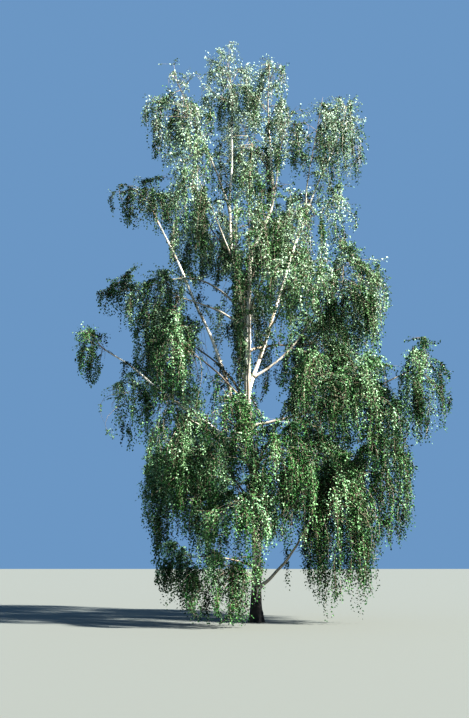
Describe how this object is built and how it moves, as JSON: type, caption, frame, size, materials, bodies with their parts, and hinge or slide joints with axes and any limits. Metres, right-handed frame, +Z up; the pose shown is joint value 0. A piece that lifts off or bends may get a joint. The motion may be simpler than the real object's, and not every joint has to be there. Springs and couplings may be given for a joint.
{
  "type": "silver birch tree",
  "caption": "Tall weeping silver birch with a white trunk that forks into leaders, ascending boughs and hanging masses of small leaves, rooted at a flat ground cut.",
  "frame": {"origin": "middle of the flat cut under the trunk, at ground level", "axes": "+Z up the trunk, +X to the right and +Y away as the picture looks at the tree"},
  "size_m": [9.654, 7.4449, 16.1338],
  "materials": {
    "white_bark": "papery white bark with dark cracks toward the foot",
    "grey_bark": "thin grey-brown bark of the boughs",
    "foliage": "small soft green leaves on thin hanging twigs"
  },
  "bodies": {
    "root": {"trunk": "white_bark", "left_leader": "white_bark", "right_leader": "white_bark", "left_stem": "white_bark", "second_stem": "grey_bark", "top_left_bough": "grey_bark", "right_fork": "grey_bark", "right_top_bough": "grey_bark", "right_hanging_bough": "grey_bark", "left_upper_bough": "grey_bark", "left_middle_bough": "grey_bark", "left_outer_bough": "grey_bark", "long_left_bough": "white_bark", "curtain_bough": "grey_bark", "left_inner_bough": "grey_bark", "middle_bough": "grey_bark", "right_front_bough": "grey_bark", "long_right_bough": "grey_bark", "right_low_bough": "grey_bark", "right_skirt_bough": "grey_bark", "lowest_right_bough": "grey_bark", "left_low_bough": "grey_bark", "top_centre_foliage": "foliage", "top_right_foliage": "foliage", "top_left_foliage": "foliage", "top_back_foliage": "foliage", "right_shoulder_foliage": "foliage", "right_top_foliage": "foliage", "right_top_outer_foliage": "foliage", "right_hanging_foliage": "foliage", "left_upper_foliage": "foliage", "left_second_foliage": "foliage", "left_back_upper_foliage": "foliage", "right_back_upper_foliage": "foliage", "centre_upper_foliage": "foliage", "right_upper_foliage": "foliage", "left_third_inner_foliage": "foliage", "left_third_outer_foliage": "foliage", "far_left_foliage": "foliage", "left_back_middle_foliage": "foliage", "back_centre_foliage": "foliage", "left_centre_foliage": "foliage", "right_middle_inner_foliage": "foliage", "right_middle_outer_foliage": "foliage", "right_back_middle_foliage": "foliage", "far_right_foliage": "foliage", "left_curtain_outer_foliage": "foliage", "left_curtain_inner_foliage": "foliage", "front_centre_foliage": "foliage", "right_low_inner_foliage": "foliage", "right_low_outer_foliage": "foliage", "front_right_low_foliage": "foliage", "left_back_low_foliage": "foliage", "right_back_low_foliage": "foliage", "right_skirt_foliage": "foliage", "right_bottom_foliage": "foliage", "front_low_foliage": "foliage", "left_low_foliage": "foliage", "left_foot_foliage": "foliage", "front_foot_foliage": "foliage"}
  },
  "joints": []
}
